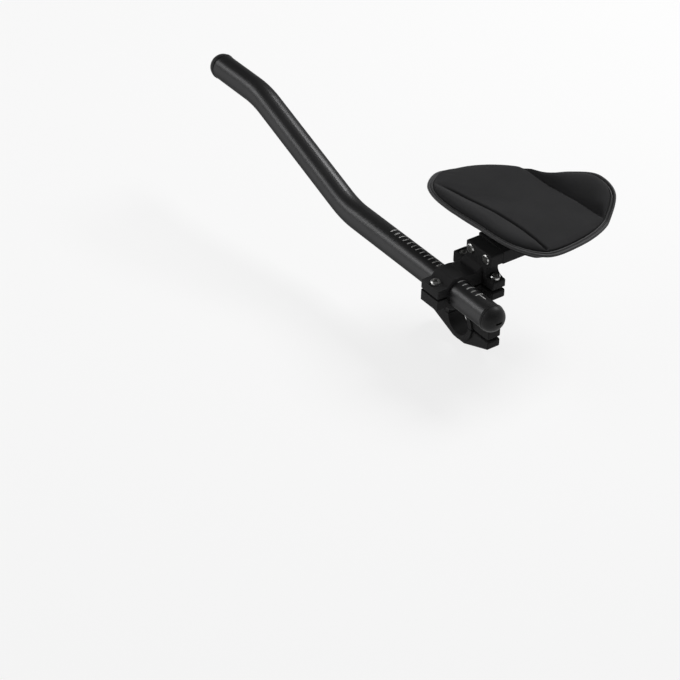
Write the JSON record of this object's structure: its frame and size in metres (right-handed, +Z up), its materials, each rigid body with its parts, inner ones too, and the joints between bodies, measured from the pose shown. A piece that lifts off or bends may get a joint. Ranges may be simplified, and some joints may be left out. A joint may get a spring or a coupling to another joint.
{
  "type": "aero handlebar extension",
  "caption": "Clip-on handlebar extension for one side: split bar clamp, S-bent tube that slides for reach in a capped clamp, end plugs, and a padded armrest on a bolted arm.",
  "frame": {"origin": "centre of the handlebar clamp's bore", "axes": "+X outboard along the handlebar, +Y forward along the tube, +Z up"},
  "size_m": [0.17, 0.398, 0.1261],
  "materials": {
    "bracket_black": "satin black anodised",
    "tube_black": "satin black anodised with fine silver graduations",
    "bolt_steel": "bright",
    "plug_plastic": "moulded",
    "cup_plastic": "moulded",
    "pad_fabric": "matt knitted cover over foam",
    "tape_fabric": "woven tape"
  },
  "bodies": {
    "bracket": {"clamp_body": "bracket_black", "bar_clamp_lower": "bracket_black", "bar_shim_upper": "bracket_black", "bar_shim_lower": "bracket_black", "bar_clamp_bolts": "bolt_steel", "tube_clamp_cap": "bracket_black", "tube_clamp_bolts": "bolt_steel", "armrest_arm": "bracket_black", "armrest_arm_bolts": "bolt_steel", "armrest_cup": "cup_plastic", "cup_screws": "bolt_steel", "hook_patches": "tape_fabric", "loop_patches": "tape_fabric", "arm_pad": "pad_fabric", "pad_binding": "tape_fabric"},
    "extension": {"extension_tube": "tube_black", "rear_end_plug": "plug_plastic", "front_end_plug": "plug_plastic"}
  },
  "joints": [
    {"name": "reach", "type": "slide", "parent": "bracket", "child": "extension", "axis": [0, 1, 0], "range_m": [-0.08, 0.03]}
  ]
}
